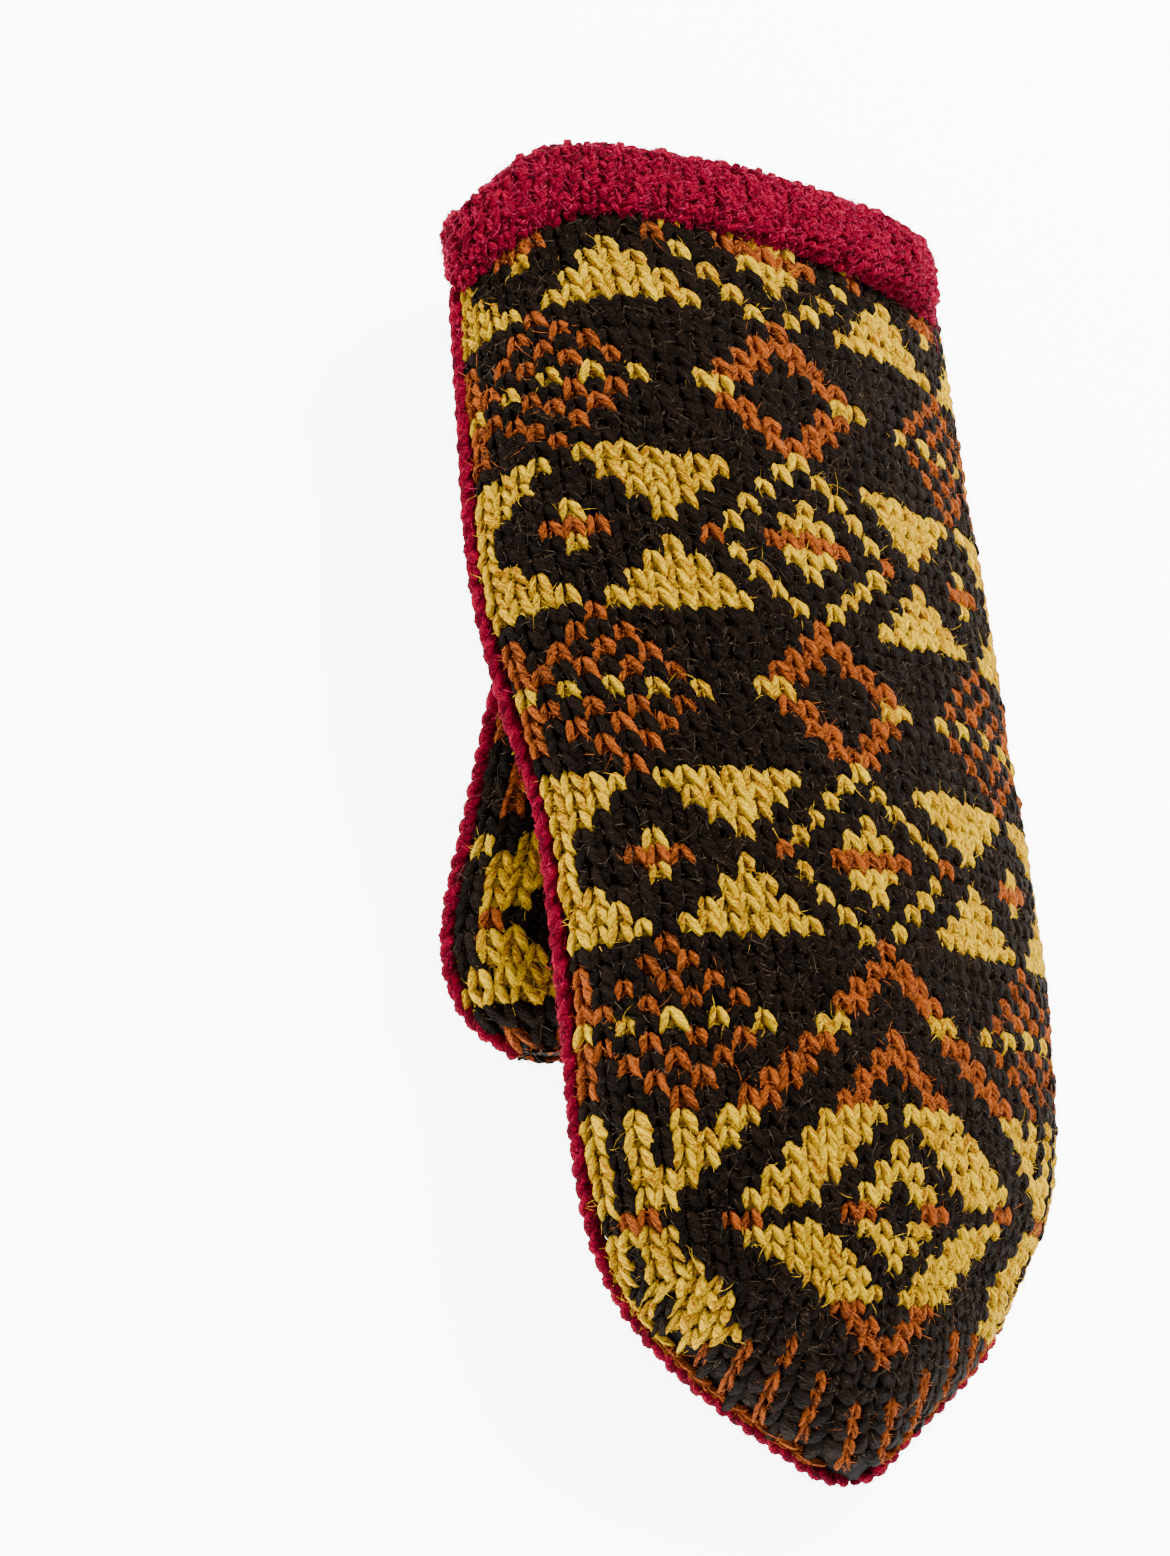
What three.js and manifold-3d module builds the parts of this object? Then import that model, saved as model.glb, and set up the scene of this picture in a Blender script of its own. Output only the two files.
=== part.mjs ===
// A left-hand mitten of stranded knitting, lying on its palm with the thumb tucked under its side.
// Millimetres, +Z up, fingertip towards -Y, back of the hand up, origin on the floor under the middle.
import * as THREE from "three";
import { mergeVertices } from "three/addons/utils/BufferGeometryUtils.js";
import Module from "manifold-3d";

// ---- driving dimensions ----
const ROW = 2.8; // height of one row of stitches
const WALL = 2.8; // knitted wall, with its floats
const EDGE_WALL = 3.6; // wall at the two side edges, where back and palm meet
const GAP = 0.35; // air between neighbouring pieces
const LINE_RADIUS = 1.7; // raised edge line
const LINE_SEAT = 0.7; // how deep an edge line sits in its groove
const UNDER = 0.03; // the little-finger line lies this share of the half width round towards the palm
const CUFF_LENGTH = 15; // rolled cuff, along the hand
const CUFF_THICK = 9.5; // rolled cuff, through its roll
const CUFF_OUT = 1.2; // centre of the roll outside the hand's outline
const CUFF_BULGE = 1.8; // and how much further out at the thumb side
const CUFF_ROW = 1.85; // the row of stitches that the roll comes down to
const FIRST_ROW = CUFF_ROW + 0.2; // where the hand's wall starts under the roll
const SAG = 11.4; // how far the wrist hangs down at the thumb side
const SAG_FROM = 0.4; // share of the half width where that starts
const SAG_ROWS = 34; // rows over which it is taken up again
const ORIGIN = { x: -2.75, y: -95.0 }; // middle of the footprint, in the wrist's own frame

// The hand from wrist to tip. row counts rows from the wrist; left and right are the side edges,
// leftZ and rightZ their heights; back and palm are how far each face bulges from the line between them.
const HAND = [
  { row: 0, left: -52.3, right: 42.3, leftZ: 29.0, rightZ: 11.0, back: 18.5, palm: 11.5 },
  { row: 10, left: -52.8, right: 43.8, leftZ: 31.0, rightZ: 11.0, back: 19.0, palm: 14.5 },
  { row: 22, left: -52.0, right: 46.5, leftZ: 30.5, rightZ: 10.0, back: 19.5, palm: 16.0 },
  { row: 30, left: -48.0, right: 47.8, leftZ: 30.0, rightZ: 9.5, back: 19.5, palm: 16.0 },
  { row: 36, left: -43.5, right: 49.0, leftZ: 29.5, rightZ: 9.5, back: 19.5, palm: 15.5 },
  { row: 46, left: -41.0, right: 49.5, leftZ: 28.0, rightZ: 9.5, back: 19.5, palm: 15.5 },
  { row: 56, left: -38.8, right: 46.2, leftZ: 25.5, rightZ: 9.5, back: 20.0, palm: 15.5 },
  { row: 61.2, left: -33.2, right: 38.0, leftZ: 22.0, rightZ: 9.5, back: 19.0, palm: 14.5 },
  { row: 65.2, left: -22.1, right: 29.5, leftZ: 17.5, rightZ: 9.5, back: 15.0, palm: 11.5 },
  { row: 68.8, left: -7.2, right: 17.0, leftZ: 13.0, rightZ: 9.5, back: 8.5, palm: 7.0 },
  { row: 71.2, left: 4.0, right: 9.0, leftZ: 10.0, rightZ: 9.5, back: 2.5, palm: 2.5 },
];
const BACK_SKEW = -0.15; // the ridge of the back stands nearer the thumb side
const PALM_SKEW = 0.45; // the palm's belly hangs nearer the little-finger side
const TIP_ROW = 71.2; // where the hand ends
const ROUND = 0.64; // 0.5 makes an oval section, 1 a lens with sharp edges

// The thumb, by distance from the wrist. It starts inside the hand and lies under the hand's side.
const THUMB = [
  { y: -62, left: -45.5, right: -21.0, leftZ: 27.5, rightZ: 22.0, back: 4.0, palm: 0.5 },
  { y: -75, left: -47.0, right: -19.5, leftZ: 26.0, rightZ: 16.0, back: 7.0, palm: 4.5 },
  { y: -88, left: -49.2, right: -18.0, leftZ: 22.5, rightZ: 9.5, back: 9.0, palm: 7.5 },
  { y: -101, left: -51.3, right: -17.5, leftZ: 17.0, rightZ: 5.5, back: 10.0, palm: 10.0 },
  { y: -112, left: -53.2, right: -18.0, leftZ: 13.0, rightZ: 5.0, back: 10.5, palm: 10.5 },
  { y: -121, left: -53.2, right: -20.0, leftZ: 11.5, rightZ: 5.0, back: 10.0, palm: 10.0 },
  { y: -128.5, left: -49.4, right: -25.0, leftZ: 10.0, rightZ: 5.0, back: 8.0, palm: 8.0 },
  { y: -133.5, left: -41.5, right: -32.5, leftZ: 8.0, rightZ: 6.0, back: 3.5, palm: 3.5 },
];
const SPLIT_Y = -88; // where thumb and hand part

const COLOURWORK = new THREE.MeshStandardMaterial({ color: 0x1b1512, roughness: 0.95, metalness: 0 });
const RED_WOOL = new THREE.MeshStandardMaterial({ color: 0xa8163c, roughness: 0.95, metalness: 0 });

// ---- smooth tables ----

/** The value of a named column at `at`, by a cubic through the rows of the table. */
function column(table, key, name, at) {
  const last = table.length - 1;
  const rising = table[last][key] > table[0][key] ? 1 : -1;
  let i = 0;
  while (i < last - 1 && (at - table[i + 1][key]) * rising > 0) i += 1;
  const slope = (j) => {
    const a = table[Math.max(j - 1, 0)];
    const b = table[Math.min(j + 1, last)];
    return (b[name] - a[name]) / (b[key] - a[key]);
  };
  const a = table[i];
  const b = table[i + 1];
  const span = b[key] - a[key];
  const t = THREE.MathUtils.clamp((at - a[key]) / span, 0, 1);
  return (
    (2 * t ** 3 - 3 * t ** 2 + 1) * a[name] +
    (t ** 3 - 2 * t ** 2 + t) * span * slope(i) +
    (3 * t ** 2 - 2 * t ** 3) * b[name] +
    (t ** 3 - t ** 2) * span * slope(i + 1)
  );
}

/** One section of a tube: its edges, their heights and the two bulges, drawn in by `inset`. */
function sectionOf(table, key, at, inset) {
  const s = {};
  for (const name of ["left", "right", "leftZ", "rightZ", "back", "palm"]) s[name] = column(table, key, name, at);
  const edge = Math.min(inset * (EDGE_WALL / WALL), (s.right - s.left) / 2 - 0.8);
  const fall = (s.rightZ - s.leftZ) / (s.right - s.left);
  s.left += edge;
  s.right -= edge;
  s.leftZ += fall * edge;
  s.rightZ -= fall * edge;
  s.back = Math.max(s.back - inset, 0.6);
  s.palm = Math.max(s.palm - inset, 0.6);
  s.floor = Math.max(inset, 0);
  s.round = ROUND;
  return s;
}

/** Height of the back (side 1) or the palm (side -1) at u, which runs from -1 at the left edge to 1. */
function heightOf(s, u, side, skews) {
  const chord = s.leftZ + ((s.rightZ - s.leftZ) * (u + 1)) / 2;
  const round = Math.pow(Math.max(1 - u * u, 0), s.round);
  if (side > 0) return chord + s.back * round * (1 + skews.back * u);
  return Math.max(chord - s.palm * round * (1 + skews.palm * u), s.floor);
}

/** The closed outline of a section, `count` points from the right edge over the back to the left. */
function outlineOf(s, count, skews) {
  return Array.from({ length: count }, (_, k) => {
    const angle = (2 * Math.PI * k) / count;
    const u = Math.cos(angle);
    const side = Math.sin(angle) >= 0 ? 1 : -1;
    return { u, x: s.left + ((s.right - s.left) * (u + 1)) / 2, z: heightOf(s, u, side, skews) };
  });
}

/** How far a row of the hand hangs down at u, which happens near the wrist on the thumb side only. */
function sagOf(row, u) {
  const out = Math.max((-u - SAG_FROM) / (1 - SAG_FROM), 0);
  return SAG * out ** 4 * Math.max(1 - row / SAG_ROWS, 0) ** 1.2;
}

const HAND_SKEWS = { back: BACK_SKEW, palm: PALM_SKEW };
const THUMB_SKEWS = { back: -0.1, palm: 0 };

/** Height of the underside of the hand over the point x, y, or a large height beside the hand. */
function underside(x, y) {
  const s = sectionOf(HAND, "row", -y / ROW, -GAP);
  const u = (2 * (x - s.left)) / (s.right - s.left) - 1;
  return Math.abs(u) < 1 ? heightOf(s, u, -1, HAND_SKEWS) : 1e3;
}

// ---- solids ----

/** A closed tube through rings of points, which all have the same count, with a fan over each end. */
function tubeGeometry(rings) {
  const count = rings[0].length;
  const points = rings.flat();
  const faces = [];
  for (let i = 0; i + 1 < rings.length; i += 1) {
    for (let k = 0; k < count; k += 1) {
      const a = i * count + k;
      const b = i * count + ((k + 1) % count);
      faces.push(a, b, a + count, b, b + count, a + count);
    }
  }
  const end = (start, turned) => {
    const centre = new THREE.Vector3();
    for (let k = 0; k < count; k += 1) centre.addScaledVector(points[start + k], 1 / count);
    points.push(centre);
    const c = points.length - 1;
    for (let k = 0; k < count; k += 1) {
      const a = start + k;
      const b = start + ((k + 1) % count);
      faces.push(...(turned ? [a, b, c] : [b, a, c]));
    }
  };
  end(0, false);
  end((rings.length - 1) * count, true);
  return new THREE.BufferGeometry().setFromPoints(points).setIndex(faces);
}

/** A ring of tubes joined end to end, for a roll that closes on itself. */
function rollGeometry(rings) {
  const count = rings[0].length;
  const total = rings.length;
  const faces = [];
  for (let i = 0; i < total; i += 1) {
    for (let k = 0; k < count; k += 1) {
      const a = i * count + k;
      const b = i * count + ((k + 1) % count);
      const c = ((i + 1) % total) * count + k;
      const d = ((i + 1) % total) * count + ((k + 1) % count);
      faces.push(a, b, c, b, d, c);
    }
  }
  return new THREE.BufferGeometry().setFromPoints(rings.flat()).setIndex(faces);
}

/** The hand as one closed lens-shaped tube, `inset` inside its outer surface. */
function handSolid(rows, count, inset) {
  return tubeGeometry(
    rows.map((row) =>
      outlineOf(sectionOf(HAND, "row", row, inset), count, HAND_SKEWS).map(
        (p) => new THREE.Vector3(p.x, -row * ROW - sagOf(row, p.u), p.z),
      ),
    ),
  );
}

/** The thumb as one closed tube. Past the split its top stays under the hand. */
function thumbSolid(stops, count, inset) {
  return tubeGeometry(
    stops.map((y) =>
      outlineOf(sectionOf(THUMB, "y", y, inset), count, THUMB_SKEWS).map((p) => {
        const ceiling = y < SPLIT_Y ? underside(p.x, y) - GAP - Math.max(inset, 0) : 1e3;
        return new THREE.Vector3(p.x, y, Math.min(p.z, ceiling));
      }),
    ),
  );
}

/** A round line along a list of points, as an extrusion of a hexagon. */
function lineGeometry(points, steps, radius = LINE_RADIUS) {
  const hexagon = new THREE.Shape(
    Array.from({ length: 6 }, (_, k) => {
      const angle = (Math.PI * k) / 3;
      return new THREE.Vector2(radius * Math.cos(angle), radius * Math.sin(angle));
    }),
  );
  const path = new THREE.CatmullRomCurve3(points, false, "centripetal");
  return new THREE.ExtrudeGeometry(hexagon, { steps, extrudePath: path, bevelEnabled: false });
}

const wasm = await Module();
wasm.setup();

/** A closed geometry as a solid that can be cut and joined. */
function solidOf(geometry) {
  geometry.deleteAttribute("normal");
  geometry.deleteAttribute("uv");
  const merged = mergeVertices(geometry, 1e-4);
  return new wasm.Manifold(
    new wasm.Mesh({
      numProp: 3,
      vertProperties: merged.attributes.position.array,
      triVerts: new Uint32Array(merged.index.array),
    }),
  );
}

/** A solid as a geometry again. */
function geometryOf(solid) {
  const mesh = solid.getMesh();
  return new THREE.BufferGeometry()
    .setAttribute("position", new THREE.BufferAttribute(mesh.vertProperties, 3))
    .setIndex(new THREE.BufferAttribute(mesh.triVerts, 1));
}

/** `count` values from a to b, closer together near b when ease is over 1. */
function spread(a, b, count, ease = 1) {
  return Array.from({ length: count }, (_, k) => b - (b - a) * Math.pow(1 - k / (count - 1), ease));
}

// ---- the pieces ----

const handOuter = solidOf(handSolid([...spread(FIRST_ROW, 54, 20), ...spread(56, TIP_ROW, 13, 1.3)], 44, 0));
const handCavity = solidOf(handSolid([-1, ...spread(FIRST_ROW, 54, 14), ...spread(57, TIP_ROW - 2.1, 9, 1.3)], 32, WALL));
const handKeepOut = solidOf(handSolid([-2, ...spread(3, 54, 18), ...spread(57, TIP_ROW, 9)], 44, -GAP));
const thumbStops = [...spread(-62, -87.9, 6), ...spread(-88.1, -121.5, 10), ...spread(-124, -133.5, 7)];
const thumbOuter = solidOf(thumbSolid(thumbStops, 32, 0));
const thumbCavity = solidOf(thumbSolid([...spread(-60, -87.9, 5), ...spread(-88.1, -130, 12)], 24, WALL));

/** The wrist's outline in the middle of its wall, each point with the direction out of it. */
function wristOutline() {
  const s = sectionOf(HAND, "row", 0, WALL / 2);
  const centre = { x: (s.left + s.right) / 2, z: (s.leftZ + s.rightZ) / 2 + (s.back - s.palm) / 2 };
  const half = { x: (s.right - s.left) / 2, z: (s.back + s.palm) / 2 };
  return outlineOf({ ...s, floor: -1e3, round: 0.5 }, 44, { back: 0, palm: 0.2 }).map((p) => {
    const out = new THREE.Vector2((p.x - centre.x) / half.x ** 2, (p.z - centre.z) / half.z ** 2).normalize();
    return { ...p, centre, out, start: -CUFF_ROW * ROW - sagOf(CUFF_ROW, p.u) };
  });
}

/** The rolled cuff, `room` fatter all round: an oval roll carried round the wrist's outline, flat where
 * it meets the floor. */
function cuffGeometry(room = 0) {
  const squared = (v) => Math.sign(v) * Math.pow(Math.abs(v), 0.75);
  const rings = wristOutline().map((p) =>
    Array.from({ length: 12 }, (_, k) => {
      const angle = (2 * Math.PI * k) / 12;
      const bulge = CUFF_OUT + CUFF_BULGE * Math.max(-p.u, 0) ** 4;
      const away = bulge + (CUFF_THICK / 2 + room) * squared(Math.cos(angle));
      const along = p.start + CUFF_LENGTH / 2 + (CUFF_LENGTH / 2 + room) * squared(Math.sin(angle));
      return new THREE.Vector3(p.x + p.out.x * away, along, Math.max(p.z + p.out.y * away, -room));
    }),
  );
  return rollGeometry(rings);
}

/** The centre of an edge line, which sits in the left (-1) or right (1) edge of a tube.
 * `under` is how far round towards the palm it lies, as a share of the half width. */
function edgePoint(table, key, at, side, under = 0) {
  const s = sectionOf(table, key, at, 0);
  const u = side * (1 - under);
  const x = s.left + ((s.right - s.left) * (u + 1)) / 2 + side * (LINE_RADIUS - LINE_SEAT);
  const y = key === "row" ? -at * ROW - sagOf(at, side) : at;
  const z = under > 0 ? heightOf(s, u, -1, HAND_SKEWS) : side < 0 ? s.leftZ : s.rightZ;
  return new THREE.Vector3(x, y, Math.max(z, LINE_RADIUS + 0.1));
}

const lines = {
  edge_line_thumb_side: { points: spread(2.6, TIP_ROW - 0.3, 26, 1.5).map((r) => edgePoint(HAND, "row", r, -1)), steps: 46 },
  edge_line_finger_side: { points: spread(2.5, TIP_ROW - 0.3, 26, 1.5).map((r) => edgePoint(HAND, "row", r, 1, UNDER)), steps: 46 },
  thumb_line_outer: { points: spread(-81, -133.2, 13, 1.3).map((y) => edgePoint(THUMB, "y", y, -1)), steps: 20 },
  thumb_line_inner: { points: spread(-90, -133.2, 12, 1.3).map((y) => edgePoint(THUMB, "y", y, 1)), steps: 20 },
};

let handShell = handOuter.subtract(handCavity).subtract(thumbCavity).subtract(solidOf(cuffGeometry(GAP * 1.6)));
let thumbShell = thumbOuter.subtract(thumbCavity).subtract(handKeepOut);
for (const line of Object.values(lines)) {
  const groove = solidOf(lineGeometry(line.points, line.steps, LINE_RADIUS + GAP));
  handShell = handShell.subtract(groove);
  thumbShell = thumbShell.subtract(groove);
}

const mitten = new THREE.Group();
mitten.position.set(-ORIGIN.x, -ORIGIN.y, 0);

/** Puts a geometry into the mitten as a mesh with a plain name. */
function addPiece(name, geometry, material) {
  const mesh = new THREE.Mesh(geometry, material);
  mesh.name = name;
  mitten.add(mesh);
}

addPiece("hand_shell", geometryOf(handShell), COLOURWORK);
addPiece("thumb_shell", geometryOf(thumbShell), COLOURWORK);
addPiece("cuff_roll", cuffGeometry(), RED_WOOL);
for (const [name, line] of Object.entries(lines)) addPiece(name, lineGeometry(line.points, line.steps), RED_WOOL);

const part = new THREE.Group();
part.add(mitten);
export default part;
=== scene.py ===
"""A left-hand mitten of stranded knitting, lying on its palm on a pale floor.

Every stitch is modelled: two plump, tapered legs that spread from a point like a roof, laid on
the surface of the hand, thumb or cuff. Shapes are in millimetres in the wrist's own frame, with
x across, y towards the cuff and z up, and are turned into metres of the row frame as they are made.
"""

import math

import bpy
import numpy as np
from mathutils import Matrix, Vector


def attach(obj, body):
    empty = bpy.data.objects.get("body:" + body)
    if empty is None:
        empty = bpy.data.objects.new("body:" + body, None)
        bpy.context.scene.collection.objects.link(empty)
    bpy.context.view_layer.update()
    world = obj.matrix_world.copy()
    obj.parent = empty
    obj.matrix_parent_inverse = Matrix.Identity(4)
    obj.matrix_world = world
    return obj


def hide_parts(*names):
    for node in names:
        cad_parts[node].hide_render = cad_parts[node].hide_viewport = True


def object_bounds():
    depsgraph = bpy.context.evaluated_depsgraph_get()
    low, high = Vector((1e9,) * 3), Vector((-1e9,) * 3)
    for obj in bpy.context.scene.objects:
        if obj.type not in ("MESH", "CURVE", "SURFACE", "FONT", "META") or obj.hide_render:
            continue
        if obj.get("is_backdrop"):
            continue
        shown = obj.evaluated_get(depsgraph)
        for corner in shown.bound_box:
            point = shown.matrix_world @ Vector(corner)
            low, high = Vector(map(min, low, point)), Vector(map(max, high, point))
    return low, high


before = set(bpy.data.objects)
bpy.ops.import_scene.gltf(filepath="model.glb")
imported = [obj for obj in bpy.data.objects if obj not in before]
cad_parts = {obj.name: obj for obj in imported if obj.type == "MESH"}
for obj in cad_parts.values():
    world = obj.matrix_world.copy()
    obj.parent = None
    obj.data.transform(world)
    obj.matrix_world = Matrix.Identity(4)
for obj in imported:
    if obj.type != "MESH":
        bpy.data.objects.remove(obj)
CAD_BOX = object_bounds()

# Driving dimensions, in mm.
ORIGIN = np.array([-2.75, -95.0, 0.0])  # the row frame's origin in the wrist's frame
ROW = 2.8  # height of a stitch
STITCH = 3.3  # width of a stitch
WALL = 2.8  # knitted wall
EDGE_WALL = 3.6  # knitted wall at the side edges
GAP = 0.35  # air between hand and thumb
THUMB_CLEAR = 0.6  # the face of the thumb's stitches lies this much further under the hand
INSIDE = 0.4  # a stitch this far above a tube's underside is hidden in it
YARN_DEPTH = 1.0  # the ground of the knitting lies this far under its face
FLOOR_CLEAR = 0.85  # face of the flattened stitches above the floor
CUFF_LENGTH = 13.6  # depth of the rolled cuff
CUFF_THICK = 9.5
CUFF_OUT = 1.2  # the roll's middle lies this far outside the wrist's outline
CUFF_BULGE = 1.8  # and further out at the thumb side
CUFF_ROW = 2.4  # the row that the roll comes down to
CUFF_COLUMNS = 82  # stitches round the roll
CUFF_ROWS = 20  # and round its section
CUFF_POINTS = 265  # points round the roll
CUFF_INSET = 0.9  # the roll's stitches lie this far inside its surface
SAG = 11.4  # how far the wrist hangs down at the thumb side
SAG_FROM = 0.4  # share of the half width where that starts
SAG_ROWS = 34.0  # rows over which it is taken up again
ROUND = 0.64  # 0.5 makes an oval section, 1 a lens
BACK_SKEW = -0.15  # how far a bulge leans to the right
PALM_SKEW = 0.45
THUMB_SKEW = -0.1
SPLIT_Y = -88.0  # the thumb leaves the hand here
TIP_ROW = 71.2  # where the hand ends, in rows of full height
EDGE_STRIP = 4  # columns of the strip that closes the little-finger edge
EDGE_COLUMN = 16.0  # columns from the middle of the back to the edge line
TAPER_ROW = 61.5  # the fingertip is decreased from here
LAST_COLUMN = 1.6  # and this many columns are left on each side of the middle
LAST_ROW = 74.0  # the last row of the chart
TIP_SQUEEZE_ROW = 58.0  # past this row the stitches lie closer
TIP_SQUEEZE = 0.8  # by this share
THUMB_EDGE_COLUMN = 6.0  # columns from the middle of the thumb to its lines
RIM_ROW = 61  # from here a column of its own follows the edge
RIM_WIDTH = 2.3
RIM_STEP = 0.9  # rows from one of its stitches to the next
RIM_INSET = 0.42  # columns from the edge to its middle
RIM_ORANGE_ROW = 65.5  # that column is yellow, and from here orange and narrower
RIM_TIGHT = 0.7
LINE_OUT = 0.45  # the edge lines' centre outside the edge
LINE_STRAND = 0.95  # radius of one strand of an edge line
LINE_TURN = 0.60  # how far each strand winds from the line's centre
LINE_LOW = 1.8  # the lines' centre never lies lower
LINE_UNDER = 0.03  # share of the half width that the little-finger line lies round to the palm
LINE_RING = 8  # points round a strand
LINE_STEP = 0.55  # from one of its rings to the next
LINE_PATTERN = 4.4  # length of strand that the yarn's pattern covers once
LINE_HAIRS = 3.2  # places for loose fibres on each mm of a line

# Sections of the hand by row and of the thumb by y: where the edges lie, how high they are, and
# how far the tube bulges above and below the line between them.
SECTION = ("at", "left", "right", "left_z", "right_z", "back", "palm")
HAND = dict(zip(SECTION, np.array([
    (0, -52.3, 42.3, 29.0, 11.0, 18.5, 11.5),
    (10, -52.8, 43.8, 31.0, 11.0, 19.0, 14.5),
    (22, -52.0, 46.5, 30.5, 10.0, 19.5, 16.0),
    (30, -48.0, 47.8, 30.0, 9.5, 19.5, 16.0),
    (36, -43.5, 49.0, 29.5, 9.5, 19.5, 15.5),
    (46, -41.0, 49.5, 28.0, 9.5, 19.5, 15.5),
    (56, -38.8, 46.2, 25.5, 9.5, 20.0, 15.5),
    (61.2, -33.2, 38.0, 22.0, 9.5, 19.0, 14.5),
    (65.2, -22.1, 29.5, 17.5, 9.5, 15.0, 11.5),
    (68.8, -7.2, 17.0, 13.0, 9.5, 8.5, 7.0),
    (71.2, 4.0, 9.0, 10.0, 9.5, 2.5, 2.5),
]).T))
THUMB = dict(zip(SECTION, np.array([
    (-62, -45.5, -21.0, 27.5, 22.0, 4.0, 0.5),
    (-75, -47.0, -19.5, 26.0, 16.0, 7.0, 4.5),
    (-88, -49.2, -18.0, 22.5, 9.5, 9.0, 7.5),
    (-101, -51.3, -17.5, 17.0, 5.5, 10.0, 10.0),
    (-112, -53.2, -18.0, 13.0, 5.0, 10.5, 10.5),
    (-121, -53.2, -20.0, 11.5, 5.0, 10.0, 10.0),
    (-128.5, -49.4, -25.0, 10.0, 5.0, 8.0, 8.0),
    (-133.5, -41.5, -32.5, 8.0, 6.0, 3.5, 3.5),
]).T))

random = np.random.default_rng(7)


def unit(vectors):
    """Each vector divided by its length."""
    return vectors / np.maximum(np.linalg.norm(vectors, axis=-1, keepdims=True), 1e-9)


def between(first, last, u):
    """The value at u, where `first` is at -1 and `last` at 1."""
    return first + (last - first) * (u + 1) / 2


def distances(points):
    """How far along a line of points each of them lies."""
    return np.concatenate([[0], np.cumsum(np.linalg.norm(np.diff(points, axis=0), axis=1))])


def walk(points, at):
    """The points at the distances `at` along a line of points."""
    length = distances(points)
    return np.stack([np.interp(at, length, points[:, k]) for k in range(3)], axis=1)


def even(points, count):
    """Rows of points, each respaced to `count` points at even distances along it."""
    share = np.linspace(0, 1, count)
    return np.stack([walk(row, share * distances(row)[-1]) for row in points])


def column(table, name, at):
    """A table's value at `at`: the cubic through its rows, whose slope at a row is the slope between
    the row's neighbours."""
    x, y = table["at"], table[name]
    turn = 1 if x[-1] > x[0] else -1
    at = np.asarray(at, float)
    i = np.clip(np.searchsorted(turn * x, turn * at, side="right") - 1, 0, len(x) - 2)
    index = np.arange(len(x))
    before, after = np.maximum(index - 1, 0), np.minimum(index + 1, len(x) - 1)
    slope = (y[after] - y[before]) / (x[after] - x[before])
    span = x[i + 1] - x[i]
    t = np.clip((at - x[i]) / span, 0, 1)
    return (
        (2 * t**3 - 3 * t**2 + 1) * y[i]
        + (t**3 - 2 * t**2 + t) * span * slope[i]
        + (3 * t**2 - 2 * t**3) * y[i + 1]
        + (t**3 - t**2) * span * slope[i + 1]
    )


def section(table, at, inset=0.0):
    """The edges, edge heights and bulges of a tube at `at`, drawn in by `inset`."""
    s = {name: column(table, name, at) for name in SECTION[1:]}
    edge = np.minimum(inset * EDGE_WALL / WALL, (s["right"] - s["left"]) / 2 - 0.8)
    fall = (s["right_z"] - s["left_z"]) / (s["right"] - s["left"])
    s["left"] = s["left"] + edge
    s["right"] = s["right"] - edge
    s["left_z"] = s["left_z"] + fall * edge
    s["right_z"] = s["right_z"] - fall * edge
    s["back"] = np.maximum(s["back"] - inset, 0.6)
    s["palm"] = np.maximum(s["palm"] - inset, 0.6)
    return s


def height(s, u, side, skew, floor=0.0):
    """Height over u from -1 to 1: the chord between the edges, plus or minus
    bulge (1 - u^2)^ROUND (1 + skew u)."""
    chord = between(s["left_z"], s["right_z"], u)
    bulge = s["back"] if side > 0 else s["palm"]
    z = chord + side * bulge * np.maximum(1 - u * u, 0) ** ROUND * (1 + skew * u)
    return z if side > 0 else np.maximum(z, floor)


def sag(row, u):
    """How far a row of the hand hangs down at u: near the wrist, on the thumb side only."""
    out = np.maximum((-u - SAG_FROM) / (1 - SAG_FROM), 0)
    return SAG * out**4 * np.maximum(1 - row / SAG_ROWS, 0) ** 1.2


def span_of(table, x, y):
    """Where the point x, y lies across a tube: u, and the tube's section there."""
    s = section(table, -y / ROW if table is HAND else y)
    return 2 * (x - s["left"]) / (s["right"] - s["left"]) - 1, s


def underside(x, y):
    """Height of the hand's underside over x, y, and a large height beside the hand."""
    u, s = span_of(HAND, x, y)
    inner = np.clip(u, -1, 1)
    return np.where(np.abs(u) < 1, height(s, inner, -1, PALM_SKEW), 1e3)


def in_hand(p):
    """True where a point is inside the hand."""
    u, s = span_of(HAND, p[..., 0], p[..., 1])
    inner = np.clip(u, -1, 1)
    low, high = height(s, inner, -1, PALM_SKEW), height(s, inner, 1, BACK_SKEW)
    return (np.abs(u) < 1) & (p[..., 2] > low + INSIDE) & (p[..., 2] < high)


def in_thumb(p):
    """True where a point is inside the thumb."""
    u, s = span_of(THUMB, p[..., 0], p[..., 1])
    inner = np.clip(u, -1, 1)
    low, high = height(s, inner, -1, 0), height(s, inner, 1, THUMB_SKEW)
    lid = underside(p[..., 0], p[..., 1]) - GAP
    high = np.where(p[..., 1] < SPLIT_Y, np.minimum(high, lid), high)
    within = (p[..., 1] < THUMB["at"][0]) & (p[..., 1] > THUMB["at"][-1])
    return within & (np.abs(u) < 1) & (p[..., 2] > low + INSIDE) & (p[..., 2] < high)


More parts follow.
